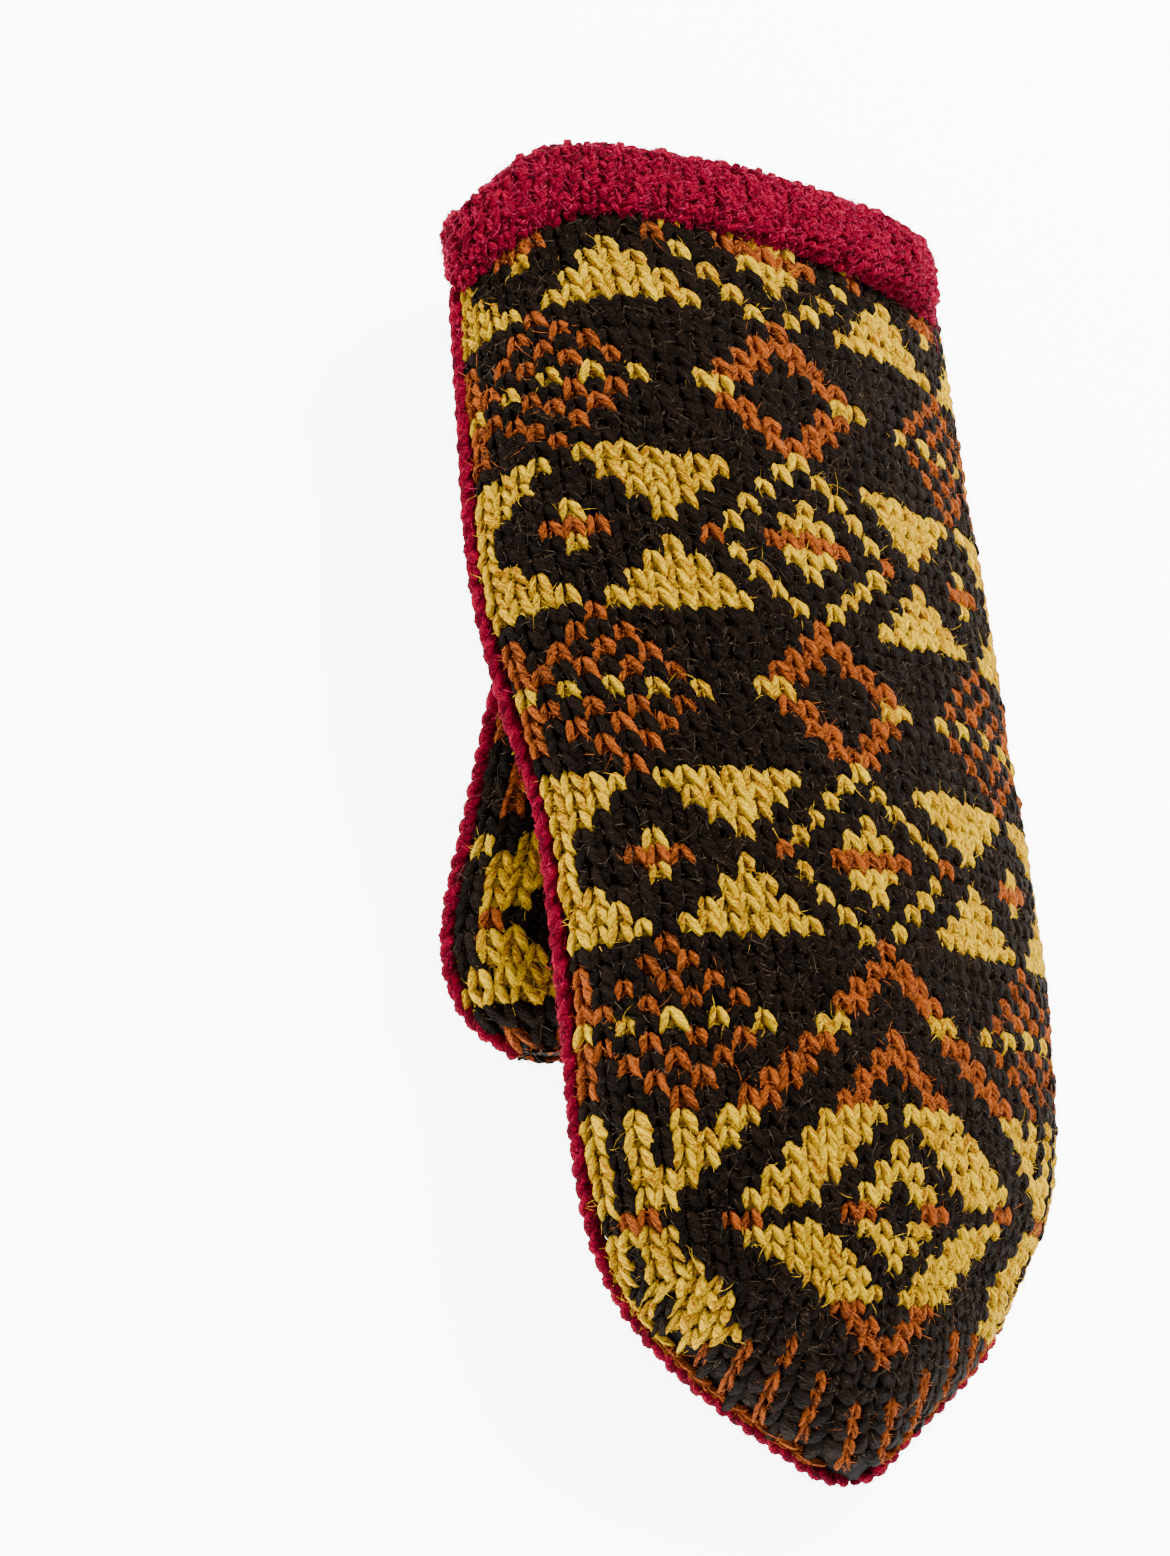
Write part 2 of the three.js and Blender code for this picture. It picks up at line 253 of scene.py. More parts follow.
class Face:
    """A knitted face: a grid of points over row and share, which runs from 0 to 1 across it."""

    def __init__(self, points, rows, shares=(0.0, 1.0), outward=1):
        self.points, self.rows, self.shares, self.outward = points, rows, shares, outward

    def at(self, row, share):
        """The point at a row and share, between the grid's four nearest points."""
        n, m = self.points.shape[:2]
        (row0, row1), (share0, share1) = self.rows, self.shares
        i = np.clip((row - row0) / (row1 - row0) * (n - 1), 0, n - 1.001)
        j = np.clip((share - share0) / (share1 - share0) * (m - 1), 0, m - 1.001)
        a, b = i.astype(int), j.astype(int)
        s, t = (i - a)[..., None], (j - b)[..., None]
        g = self.points
        near = g[a, b] * (1 - t) + g[a, b + 1] * t
        far = g[a + 1, b] * (1 - t) + g[a + 1, b + 1] * t
        return near * (1 - s) + far * s

    def cell(self, row, share, half):
        """The middle of a stitch, its vectors across and along, and the outward normal."""
        across = self.at(row, share + half) - self.at(row, share - half)
        along = self.at(row + 0.5, share) - self.at(row - 0.5, share)
        normal = unit(np.cross(across, along) * self.outward)
        return self.at(row, share), across, along, normal


def surface(table, at, u, side, skew):
    """A tube's upper (1) or lower (-1) surface: x and z over the places `at` along it and u across."""
    s = {k: v[:, None] for k, v in section(table, at).items()}
    return between(s["left"], s["right"], u), height(s, u, side, skew, FLOOR_CLEAR)


def hand_face(side):
    """The back (1) or the palm (-1) of the hand."""
    rows = np.arange(-1.0, TIP_ROW, 0.2)
    u = np.cos(np.linspace(np.pi, 0, 181))[None]
    x, z = surface(HAND, rows, u, side, BACK_SKEW if side > 0 else PALM_SKEW)
    y = -rows[:, None] * ROW - sag(rows[:, None], u)
    return Face(even(np.stack([x, y, z], axis=2), 161), (rows[0], rows[-1]), outward=-side)


def edge_face():
    """A strip round the little-finger edge, EDGE_STRIP columns wide: from the back over the edge to
    the palm."""
    rows = np.arange(-1.0, TIP_ROW, 0.2)
    u = np.cos(np.linspace(0.75, 0, 60))[None]
    reach = np.linspace(0, EDGE_STRIP / 2 * STITCH, 25)
    sides = []
    for side, skew in ((1, BACK_SKEW), (-1, PALM_SKEW)):
        x, z = surface(HAND, rows, u, side, skew)
        y = np.broadcast_to(-rows[:, None] * ROW, x.shape)
        points = np.stack([x, y, z], axis=2)[:, ::-1]
        sides.append(np.array([walk(line, reach) for line in points]))
    points = np.concatenate([sides[0][:, ::-1], sides[1][:, 1:]], axis=1)
    return Face(points, (rows[0], rows[-1]), outward=-1)


def thumb_face(side):
    """The top (1) or the underside (-1) of the thumb. Rows count from the split."""
    y = np.arange(THUMB["at"][0], THUMB["at"][-1], -0.5)
    u = np.cos(np.linspace(np.pi, 0, 121))[None]
    x, z = surface(THUMB, y, u, side, THUMB_SKEW if side > 0 else 0.0)
    yy = np.broadcast_to(y[:, None], x.shape)
    lid = np.where(yy < SPLIT_Y, underside(x, yy) - GAP - THUMB_CLEAR, 1e3)
    z = np.minimum(z, lid)
    rows = ((SPLIT_Y - y[0]) / ROW, (SPLIT_Y - y[-1]) / ROW)
    return Face(even(np.stack([x, yy, z], axis=2), 121), rows, outward=-side)


def cuff_outline(count):
    """Points of the wrist's oval outline in x and z, the outward directions, and u."""
    s = {k: float(v) for k, v in section(HAND, 0.0, WALL / 2).items()}
    angle = np.linspace(0, 2 * np.pi, count)
    u = np.cos(angle)
    side = np.where(np.sin(angle) >= 0, 1, -1)
    rounding = np.sqrt(np.maximum(1 - u * u, 0))
    chord = between(s["left_z"], s["right_z"], u)
    z = chord + np.where(side > 0, s["back"] * rounding, -s["palm"] * rounding * (1 + 0.2 * u))
    x = between(s["left"], s["right"], u)
    centre = (
        (s["left"] + s["right"]) / 2,
        (s["left_z"] + s["right_z"]) / 2 + (s["back"] - s["palm"]) / 2,
    )
    half = ((s["right"] - s["left"]) / 2, (s["back"] + s["palm"]) / 2)
    out = np.stack([(x - centre[0]) / half[0] ** 2, (z - centre[1]) / half[1] ** 2], axis=1)
    return np.stack([x, z], axis=1), unit(out), u


def squared(v):
    """A sine or cosine with its rounds filled out: |v|^0.75 with the sign of v."""
    return np.sign(v) * np.abs(v) ** 0.75


def cuff_surface(rows, inset, low):
    """The roll: an oval of half axes CUFF_THICK / 2 and CUFF_LENGTH / 2 carried round the wrist, which
    hangs down and bulges out at the thumb side."""
    turn = np.linspace(-0.5 * np.pi, 1.5 * np.pi, 721)
    away = CUFF_OUT + (CUFF_THICK / 2 - inset) * squared(np.cos(turn))
    along = CUFF_LENGTH / 2 + (CUFF_LENGTH / 2 - inset) * squared(np.sin(turn))
    length = np.concatenate([[0], np.cumsum(np.hypot(np.diff(away), np.diff(along)))])
    at = np.mod(rows / CUFF_ROWS, 1.0) * length[-1]
    away, along = np.interp(at, length, away), np.interp(at, length, along)
    flat, out, u = cuff_outline(720)
    away = away[:, None] + CUFF_BULGE * np.maximum(-u, 0) ** 4
    x = flat[None, :, 0] + out[None, :, 0] * away
    z = np.maximum(flat[None, :, 1] + out[None, :, 1] * away, low)
    y = along[:, None] - CUFF_ROW * ROW - sag(CUFF_ROW, u)[None]
    return even(np.stack([x, y, z], axis=2), CUFF_POINTS)


def cuff_face():
    """The knitted face of the roll, from the hand round the rim to the inside. Share 0 is the finger
    side, and the face goes on a little past a full turn at both ends."""
    rows = np.arange(-1.0, CUFF_ROWS + 1.01, 0.25)
    points = cuff_surface(rows, CUFF_INSET, FLOOR_CLEAR)
    points = np.concatenate([points[:, -9:-1], points, points[:, 1:9]], axis=1)
    over = 8 / (CUFF_POINTS - 1)
    return Face(points, (rows[0], rows[-1]), (-over, 1 + over), outward=-1)


# The charts of the yarns. Columns count from the middle and rows from the cuff.
BLACK, YELLOW, ORANGE, RED = 0, 1, 2, 3
YARN_NAMES = {BLACK: "black", YELLOW: "yellow", ORANGE: "orange", RED: "red"}
BANDS = (3, 21, 39)  # middle rows of the winged bands; the checkered ones are 9 rows on
WING, FLOWER, EDGE_WING = 7, 11, 15  # middle columns of wings, flowers and the wings at the edge
DIAMOND_ROW = 58  # middle row of the diamonds at the fingertip
BAR_ROW = 65  # last row of the fingertip's yellow bars; orange ones follow
PALM_DIAMOND_ROW = 61


def in_bars(c, r):
    """Whether a stitch is one of the fingertip's upright bars, outside the diamonds."""
    d = np.abs(c) + np.abs(r - DIAMOND_ROW)
    return (r > 52) & ((d > 14) | ((r > 63) & (d > 12)))


def back_chart(c, r):
    """The chart of the back: wings, flowers and lattices in three bands with checkered bands and rings
    between them, then diamonds in one another, with upright bars outside them."""
    a = np.abs(c)
    flower = np.abs(a - FLOWER)
    yarn = np.zeros(c.shape, int)
    for band in BANDS:
        up = np.abs(r - band)
        wing = (np.abs(a - WING) <= up - 1) | (np.abs(a - EDGE_WING) <= up - 1)
        yarn[(up >= 1) & (up <= 4) & wing & ((band > BANDS[0]) | (r > band))] = YELLOW
        yarn[(a == EDGE_WING) & (up <= 4)] = YELLOW
        yarn[(r == band) & (flower <= 1)] = ORANGE
        yarn[(up == 1) & (flower == 0)] = YELLOW
        lattice = a + up
        yarn[(lattice == 5) | (lattice <= 2)] = YELLOW
        yarn[(r == band) & ((a == 5) | (a <= 2))] = ORANGE
        mid = np.abs(r - band - 9)
        yarn[(a == EDGE_WING) & (mid <= 3)] = ORANGE
        checker = (flower + mid <= 4) & ((flower + mid) % 2 == 0)
        yarn[checker] = ORANGE
        yarn[checker & (mid == 0)] = YELLOW
        if band != BANDS[-1]:
            ring = (a + mid >= 3) & (a + mid <= 4)
            yarn[ring] = ORANGE
            yarn[ring & (mid == 0)] = YELLOW
    yarn[r < 2] = BLACK
    tip = r >= 44
    d = a + np.abs(r - DIAMOND_ROW)
    near = (np.abs(r - DIAMOND_ROW) <= 5) & (r != DIAMOND_ROW)
    yarn[tip & (d <= 14) & ((flower + np.abs(r - 48) > 4) | (r > 52))] = BLACK
    outer = tip & (d >= 13) & (d <= 14)
    yarn[outer] = np.where(near | (r == 48), YELLOW, ORANGE)[outer]
    yarn[tip & (d >= 8) & (d <= 9)] = ORANGE
    yarn[tip & near & (d >= 6) & (d <= 9)] = YELLOW
    yarn[tip & (d >= 2) & (d <= 3)] = YELLOW
    yarn[(r == DIAMOND_ROW) & np.isin(a, (2, 3, 8, 9))] = ORANGE
    bars = in_bars(c, r)
    odd = bars & (a % 2 == 1)
    yarn[bars] = BLACK
    yarn[odd] = np.where((r <= BAR_ROW) & (d > 14), YELLOW, ORANGE)[odd]
    yarn[bars & (r == DIAMOND_ROW)] = BLACK
    low = bars & (r > DIAMOND_ROW) & (r <= BAR_ROW)
    yarn[low] = YELLOW
    yarn[low & (((a == 14) & (r >= 60)) | ((a == 12) & (r >= 63)) | (d < 15))] = BLACK
    yarn[(d == 13) & (r >= 60) & (r <= BAR_ROW)] = BLACK
    return yarn


def palm_chart(c, r):
    """The chart of the palm: the back's bands near the cuff, then upright bars and a small diamond."""
    a = np.abs(c)
    yarn = np.where(r < 30, back_chart(c, r), BLACK)
    odd = a % 2 == 1
    bars = (
        (31, 34, odd, YELLOW), (35, 38, ~odd, YELLOW), (39, 42, odd, ORANGE), (42, 42, ~odd, YELLOW),
        (43, 46, ~odd, ORANGE), (47, 50, odd, YELLOW), (50, 50, ~odd, ORANGE), (51, 55, ~odd, YELLOW),
        (56, 60, odd, YELLOW), (62, 74, odd, ORANGE),
    )
    for first, last, columns, colour in bars:
        yarn[(r >= first) & (r <= last) & columns] = colour
    d = a + np.abs(r - PALM_DIAMOND_ROW)
    yarn[d <= 8] = BLACK
    ring = (d >= 5) & (d <= 6)
    yarn[ring] = np.where(r < PALM_DIAMOND_ROW, YELLOW, ORANGE)[ring]
    yarn[d <= 1] = YELLOW
    return yarn


def thumb_top_chart(c, r):
    """The chart of the thumb's top: yellow wings by the outer line, which is at c = -5, and bars at
    the tip. Rows count from the split."""
    yarn = np.zeros(c.shape, int)
    yarn[(r == 0) & (c == -4)] = YELLOW
    yarn[(r >= 1) & (r <= 3) & (c == -4)] = ORANGE
    yarn[(r >= 5) & (r <= 8) & (c >= -4) & (c <= -2)] = YELLOW
    yarn[(r == 5) & (c == -4)] = BLACK
    yarn[(r == 8) & (c == -2)] = BLACK
    yarn[(r == 9) & (c == -4)] = ORANGE
    yarn[(r >= 10) & (r <= 13) & (c >= -4) & (c <= r - 13)] = YELLOW
    yarn[((r == 5) | (r == 13)) & (c == -5)] = YELLOW
    yarn[(r <= -1) & (c == -5)] = ORANGE
    yarn[(r >= 15) & (c % 2 == 0)] = ORANGE
    return yarn


def thumb_under_chart(c, r):
    """The chart of the thumb's underside: a checkered band, then a flower between wings, then bars."""
    a = np.abs(c)
    up = np.abs(r - 9)
    yarn = np.where((up >= 1) & (up <= 4) & (np.abs(a - 4) <= up - 1), YELLOW, BLACK)
    yarn[(r == 9) & (a <= 1)] = ORANGE
    yarn[(up == 1) & (a == 0)] = YELLOW
    yarn[(r <= 3) & (r >= -6) & ((a + r) % 2 == 0)] = ORANGE
    yarn[(r >= 15) & (a % 2 == 0)] = ORANGE
    return yarn


def make_object(name, points, quads, tris, material, nodes=(), uv=None, tone=None, yarn=BLACK):
    """One object from points in mm, faces of four and three corners, and a UV and a tone where given.
    `yarn` is not used, and it stands in for the CAD nodes named in `nodes`."""
    points = np.asarray(points, float).reshape(-1, 3).copy()
    points[:, 2] = np.maximum(points[:, 2], 0.03)
    mesh = bpy.data.meshes.new(name)
    quads = np.asarray(quads, np.int32).reshape(-1, 4)
    tris = np.asarray(tris, np.int32).reshape(-1, 3)
    corners = np.concatenate([quads.ravel(), tris.ravel()])
    sizes = np.concatenate([np.full(len(quads), 4), np.full(len(tris), 3)]).astype(np.int32)
    mesh.vertices.add(len(points))
    mesh.vertices.foreach_set("co", ((points - ORIGIN) * 0.001).astype(np.float32).ravel())
    mesh.loops.add(len(corners))
    mesh.loops.foreach_set("vertex_index", corners)
    mesh.polygons.add(len(sizes))
    starts = np.concatenate([[0], np.cumsum(sizes)[:-1]])
    mesh.polygons.foreach_set("loop_start", starts.astype(np.int32))
    mesh.polygons.foreach_set("use_smooth", np.ones(len(sizes), bool))
    if uv is not None:
        layer = mesh.uv_layers.new(name="yarn")
        layer.data.foreach_set("uv", np.asarray(uv, np.float32).ravel())
    if tone is not None:
        attribute = mesh.attributes.new("tone", "FLOAT", "POINT")
        attribute.data.foreach_set("value", np.asarray(tone, np.float32).ravel())
    mesh.update(calc_edges=True)
    mesh.validate()
    mesh.materials.append(material)
    piece = bpy.data.objects.new(name, mesh)
    bpy.context.scene.collection.objects.link(piece)
    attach(piece, "root")
    if nodes:
        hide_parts(*nodes)


def copies(faces, count, corners):
    """The faces of `count` copies of a small mesh that has `corners` points."""
    faces = np.array(faces)
    return (faces[None] + corners * np.arange(count)[:, None, None]).reshape(-1, faces.shape[1])


RING = 5  # points round a leg
FINE_STOPS = (0.09, 0.36, 0.64, 0.9)  # where a leg's rings stand, on the back and the thumb's top
COARSE_STOPS = (0.14, 0.5, 0.86)  # and on the palm, under the thumb and on the cuff
LEG_START = -0.70  # where a leg starts along the stitch, and how long it is, in stitch heights
LEG_LENGTH = 1.50
SIZE_SCATTER = 0.06  # share by which legs differ in size
TURN_SCATTER = 0.075  # and turn, in radians
PLACE_SCATTER = np.array([0.13, 0.17, 0.10])  # and place: across, along and out, in mm
CUFF_SCATTER = 2.2  # times as much on the cuff
ROUGHNESS = 0.05  # how far a leg's points stray, in mm
THREAD = {BLACK: (1.22, 0.16), YELLOW: (0.90, 0.02), ORANGE: (0.90, 0.02)}  # thickness share, mm sunk
LEG_SHAPES = {  # for each side: start and end across in stitch widths, half width and half depth
    -1: (0.10, 0.48, 0.82, 0.84),
    1: (0.04, 0.59, 0.98, 0.90),
}


def leg_template(side, ring_stops):
    """One leg of a stitch in mm: across, along, out. Its line runs from beside the middle of the
    stitch's top down and out to the corner, and its radius swells and closes as sin(pi t)^0.55."""
    first, last, half_width, half_depth = LEG_SHAPES[side]
    t = np.array(ring_stops)
    lean = math.atan2((last - first) * STITCH, LEG_LENGTH * ROW)
    across = np.array([math.cos(lean), -math.sin(lean), 0.0])

    def line(t):
        """The leg's middle line: it bows outwards, rises in the middle and dives at its end."""
        t = np.asarray(t, float)
        rise = -0.30 + 0.50 * np.sin(np.pi * (0.12 + 0.74 * t)) - 0.40 * t**3
        bow = 0.10 * np.sin(np.pi * t)
        x = STITCH * (first + (last - first) * t) + bow
        return np.stack([x, ROW * (LEG_START + LEG_LENGTH * t), rise], axis=-1)

    swell = np.sin(np.pi * (0.05 + 0.92 * t)) ** 0.55
    angle = 2 * np.pi * np.arange(RING) / RING - np.pi / 2
    ring = (
        line(t)[:, None]
        + (half_width * swell)[:, None, None] * np.cos(angle)[None, :, None] * across
        + (half_depth * swell)[:, None, None] * np.sin(angle)[None, :, None] * np.array([0, 0, 1.0])
    )
    points = np.concatenate([line([0.0]), ring.reshape(-1, 3), line([1.0])])
    spine = np.concatenate([line([0.0]), np.repeat(line(t), RING, axis=0), line([1.0])])
    count = len(t)
    quads, quad_uv, tris, tri_uv = [], [], [], []
    stops = (0.0, *ring_stops, 1.0)
    for i in range(count - 1):
        for k in range(RING):
            a, b = 1 + i * RING + k, 1 + i * RING + (k + 1) % RING
            quads.append((a, b, b + RING, a + RING))
            v0, v1 = k / RING, (k + 1) / RING
            u0, u1 = stops[i + 1], stops[i + 2]
            quad_uv.append(((u0, v0), (u0, v1), (u1, v1), (u1, v0)))
    end = 1 + count * RING
    for k in range(RING):
        v0, v1 = k / RING, (k + 1) / RING
        a, b = 1 + k, 1 + (k + 1) % RING
        tris.append((0, b, a))
        tri_uv.append(((0, (v0 + v1) / 2), (stops[1], v1), (stops[1], v0)))
        a, b = a + (count - 1) * RING, b + (count - 1) * RING
        tris.append((end, a, b))
        tri_uv.append(((1, (v0 + v1) / 2), (stops[-2], v0), (stops[-2], v1)))
    shape = [points, spine, *(np.array(v) for v in (quads, quad_uv, tris, tri_uv))]
    if side < 0:
        mirrored = [v * np.array([-1, 1, 1]) for v in shape[:2]]
        shape = mirrored + [v[:, ::-1] for v in shape[2:]]
    return shape


FINE_LEGS, COARSE_LEGS = (
    {side: leg_template(side, ring_stops) for side in (-1, 1)}
    for ring_stops in (FINE_STOPS, COARSE_STOPS)
)


def stitch_arrays(cells, outward, legs, fat=1.0, sink=0.0, scatter=1.0):
    """The legs of many stitches, each laid in its own cell, with scatter in size, place and turn.
    `fat` is the share of a leg's usual thickness."""
    middle, across, along, normal = cells
    n = len(middle)
    parts = []
    start = 0
    for side in (-1, 1):
        points, spine, *faces = legs[side]
        leg = spine + fat * (points - spine)
        size = 1 + random.normal(0, SIZE_SCATTER, (n, 1))
        turn = random.normal(0, TURN_SCATTER * scatter, (n, 1))
        shift = random.normal(0, scatter, (n, 3)) * PLACE_SCATTER
        a = leg[:, 0][None] * size
        b = leg[:, 1][None] * size
        a, b = a * np.cos(turn) - b * np.sin(turn), a * np.sin(turn) + b * np.cos(turn)
        a, b = (a + shift[:, :1]) / STITCH, (b + shift[:, 1:2]) / ROW
        h = leg[:, 2][None] * size + shift[:, 2:] - sink
        placed = (
            middle[:, None]
            + a[..., None] * across[:, None]
            + b[..., None] * along[:, None]
            + h[..., None] * normal[:, None]
            + random.normal(0, ROUGHNESS, (n, len(leg), 3))
        )
        quads, quad_uv, tris, tri_uv = (v[:, ::-1] if outward < 0 else v for v in faces)
        parts.append((
            placed.reshape(-1, 3),
            start + copies(quads, n, len(points)),
            start + copies(tris, n, len(points)),
            np.tile(quad_uv.reshape(-1, 2), (n, 1)),
            np.tile(tri_uv.reshape(-1, 2), (n, 1)),
            np.repeat(random.random(n), len(points)),
        ))
        start += n * len(points)
    points, quads, tris, quad_uv, tri_uv, tone = (np.concatenate(x) for x in zip(*parts))
    return points, quads, tris, np.concatenate([quad_uv, tri_uv]), tone


BED = np.array([  # a low pad under a stitch: share of its width, share of its height, mm out
    (-0.42, 0.30, -0.95), (-0.14, 0.56, -0.85), (0.14, 0.56, -0.85), (0.42, 0.30, -0.95),
    (0.42, -0.42, -0.95), (0.14, -0.30, -0.85), (-0.14, -0.30, -0.85), (-0.42, -0.42, -0.95),
    (0.0, 0.16, -0.30), (0.0, 0.16, -1.5),
])


def bed_arrays(cells, outward):
    """A roof-shaped pad of the same yarn under each stitch, which hides the ground between its legs."""
    middle, across, along, normal = cells
    n = len(middle)
    placed = (
        middle[:, None]
        + BED[None, :, :1] * across[:, None]
        + BED[None, :, 1:2] * along[:, None]
        + BED[None, :, 2:] * normal[:, None]
    )
    tris = []
    for k in range(8):
        a, b = k, (k + 1) % 8
        tris += [(8, b, a), (9, a, b)]
    tris = np.array(tris)
    if outward < 0:
        tris = tris[:, ::-1]
    uv = np.tile(BED[tris.ravel(), :2] + 0.5, (n, 1))
    tone = np.repeat(random.random(n), len(BED))
    return placed.reshape(-1, 3), copies(tris, n, len(BED)), uv, tone


def edge_column(r):
    """The columns from the middle to the edge at a row: fewer past TAPER_ROW."""
    share = np.clip((r - TAPER_ROW) / (LAST_ROW - TAPER_ROW), 0, 1)
    return EDGE_COLUMN * (1 - share) + LAST_COLUMN * share


def row_place(r):
    """Where a row of the chart lies: past TIP_SQUEEZE_ROW the rows are closer."""
    return np.where(r < TIP_SQUEEZE_ROW, r, TIP_SQUEEZE_ROW + (r - TIP_SQUEEZE_ROW) * TIP_SQUEEZE)


def share_of(c, r):
    """How far across the face a column lies. Near the cuff the middle columns are stretched."""
    edge = edge_column(r)
    stretch = np.interp(r, [0, 20, 45], [0.235, 0.04, -0.018])
    return (c * (1 + stretch * (1 - (c / edge) ** 2)) + edge) / (2 * edge)


def hand_stitches(chart):
    """Columns, rows and yarns of all whole stitches of one side of the hand."""
    c, r = np.meshgrid(np.arange(-15, 16), np.arange(1, int(LAST_ROW)))
    c, r = c.ravel(), r.ravel()
    keep = np.abs(c) <= edge_column(r) - np.where(r >= RIM_ROW, 1.0, 0.55)
    c, r = c[keep], r[keep]
    return c, r, chart(c, r)


def rim_cells(face, side):
    """The cells of the column that follows the fingertip's left (-1) or right (1) edge."""
    r = np.arange(RIM_ROW, LAST_ROW - 0.4, RIM_STEP)

    def line(row):
        return face.at(row_place(row), share_of(side * (edge_column(row) - RIM_INSET), row))

    middle, along = line(r), line(r + 0.5) - line(r - 0.5)
    inner = face.at(row_place(r), share_of(side * (edge_column(r) - 1.2), r))
    across = (middle - inner) * side
    normal = unit(np.cross(across, along) * face.outward)
    across = np.cross(unit(along), normal) * face.outward * -RIM_WIDTH
    across *= np.sign(np.sum(across * (middle - inner) * side, axis=1, keepdims=True))
    return (middle, across, along, normal), r


def with_rims(face, cells, yarns):
    """The cells of a side of the hand with those of its two rim columns."""
    for side in (-1, 1):
        (middle, across, along, normal), r = rim_cells(face, side)
        yellow = r < RIM_ORANGE_ROW
        rim = middle, across * np.where(yellow, 1.0, RIM_TIGHT)[:, None], along, normal
        cells = [np.concatenate(pair) for pair in zip(cells, rim)]
        yarns = np.concatenate([yarns, np.where(yellow, YELLOW, ORANGE)])
    return cells, yarns


def bar_width(c, r, yarns):
    """How wide the stitches of the fingertip's upright bars are drawn, as a share of their columns:
    up to BAR_ROW yellow ones are wide, and past it orange ones are tight between wide black ones."""
    low = np.where(yarns == YELLOW, 1.2, 0.85)
    high = np.where(yarns == ORANGE, 0.62, 1.3)
    return np.where(in_bars(c, r), np.where(r <= BAR_ROW, low, high), 1.0)[:, None]


def hand_cells(face, c, r):
    """The cells of the stitches at columns c and rows r. A slow wave moves them in both directions,
    and `along` follows the column from half a row behind to half a row ahead."""
    waved_r = r + 0.16 * np.sin(0.55 * c + 0.21 * r) + 0.10 * np.sin(0.9 * c - 0.4 * r + 1.0)
    waved_c = c + 0.12 * np.sin(0.45 * r + 0.35 * c)
    half = (share_of(waved_c + 0.5, r) - share_of(waved_c - 0.5, r)) / 2
    middle, across, along, normal = face.cell(row_place(waved_r), share_of(waved_c, r), half)
    ahead, behind = (
        face.at(row_place(row), share_of(waved_c, row)) for row in (waved_r + 0.5, waved_r - 0.5)
    )
    column = ahead - behind
    column *= np.sign(np.sum(column * along, axis=1, keepdims=True))
    return middle, across, column, normal


def node_group(name, inputs, outputs):
    """A shader node group with named inputs, and outputs that are all numbers."""
    group = bpy.data.node_groups.new(name, "ShaderNodeTree")
    for label, kind in inputs:
        group.interface.new_socket(label, in_out="INPUT", socket_type=kind)
    for label in outputs:
        group.interface.new_socket(label, in_out="OUTPUT", socket_type="NodeSocketFloat")
    given, result = (group.nodes.new("NodeGroup" + end) for end in ("Input", "Output"))
    return group, given.outputs, result.inputs


def noise(tree, place, scale, detail, roughness=0.5):
    """The value of a noise texture over a place."""
    node = tree.nodes.new("ShaderNodeTexNoise")
    for label, value in (("Scale", scale), ("Detail", detail), ("Roughness", roughness)):
        node.inputs[label].default_value = value
    tree.links.new(place, node.inputs["Vector"])
    return node.outputs["Fac"]


def yarn_group():
    """Twisted plies and fine fibres along a leg of yarn: a height for the bump and a shade for the
    colour, which is painted shade between the plies with random mottling. A ply is |sin(pi (1.9 along +
    3 around + tone))|."""
    group, given, result = node_group("twisted_yarn_and_ply_shade", (
        ("Along", "NodeSocketFloat"),
        ("Around", "NodeSocketFloat"),
        ("Tone", "NodeSocketFloat"),
        ("Place", "NodeSocketVector"),
    ), ("Height", "Shade"))
    nodes, links = group.nodes, group.links
    along, around, tone = given["Along"], given["Around"], given["Tone"]

    def calc(kind, a, b=None, clamp=False):
        node = nodes.new("ShaderNodeMath")
        node.operation = kind
        node.use_clamp = clamp
        for socket, value in zip(node.inputs, (a, b)):
            if isinstance(value, (int, float)):
                socket.default_value = value
            elif value is not None:
                links.new(value, socket)
        return node.outputs[0]

    def about(value, gain, middle=0.5):
        return calc("MULTIPLY", calc("SUBTRACT", value, middle), gain)

    turns = calc("ADD", calc("MULTIPLY", along, 1.9), calc("MULTIPLY", around, 3.0))
    phase = calc("ADD", turns, tone)
    ply = calc("ABSOLUTE", calc("SINE", calc("MULTIPLY", phase, math.pi)))
    fibre_place = nodes.new("ShaderNodeCombineXYZ")
    slanted = calc("ADD", around, calc("MULTIPLY", along, 0.45))
    for socket, value, scale in zip(fibre_place.inputs, (along, slanted, tone), (3.2, 19.0, 41.0)):
        links.new(calc("MULTIPLY", value, scale), socket)
    fibre = noise(group, fibre_place.outputs[0], 1.0, 3.0, 0.65)
    fuzz = noise(group, given["Place"], 2600.0, 2.0)
    height = calc("ADD", calc("MULTIPLY", ply, 0.35), about(fibre, 2.4))
    height = calc("ADD", height, about(fuzz, 1.0))
    # The shade: painted shade between the plies, from the ply, with random mottling from the fibres,
    # the fuzz and each stitch's tone.
    shade = calc("ADD", about(ply, 0.35, 0.6), about(fibre, 3.2))
    shade = calc("ADD", shade, about(fuzz, 1.7))
    shade = calc("ADD", shade, about(tone, 0.45))
    shade = calc("ADD", shade, 0.55, clamp=True)
    links.new(height, result["Height"])
    links.new(shade, result["Shade"])
    return group


def felt_group():
    """Flecks of felted wool: fine noise over the piece."""
    group, given, result = node_group("felted_wool", (("Place", "NodeSocketVector"),), ("Fleck",))
    group.links.new(noise(group, given["Place"], 900.0, 4.0), result["Fleck"])
    return group


TWISTED_YARN_AND_PLY_SHADE = yarn_group()
FELTED_WOOL = felt_group()


def linear(*rgb):
    """An sRGB colour of 0 to 255 as linear values."""
    return tuple((v / 255 / 12.92) if v < 10.3 else ((v / 255 + 0.055) / 1.055) ** 2.4 for v in rgb)


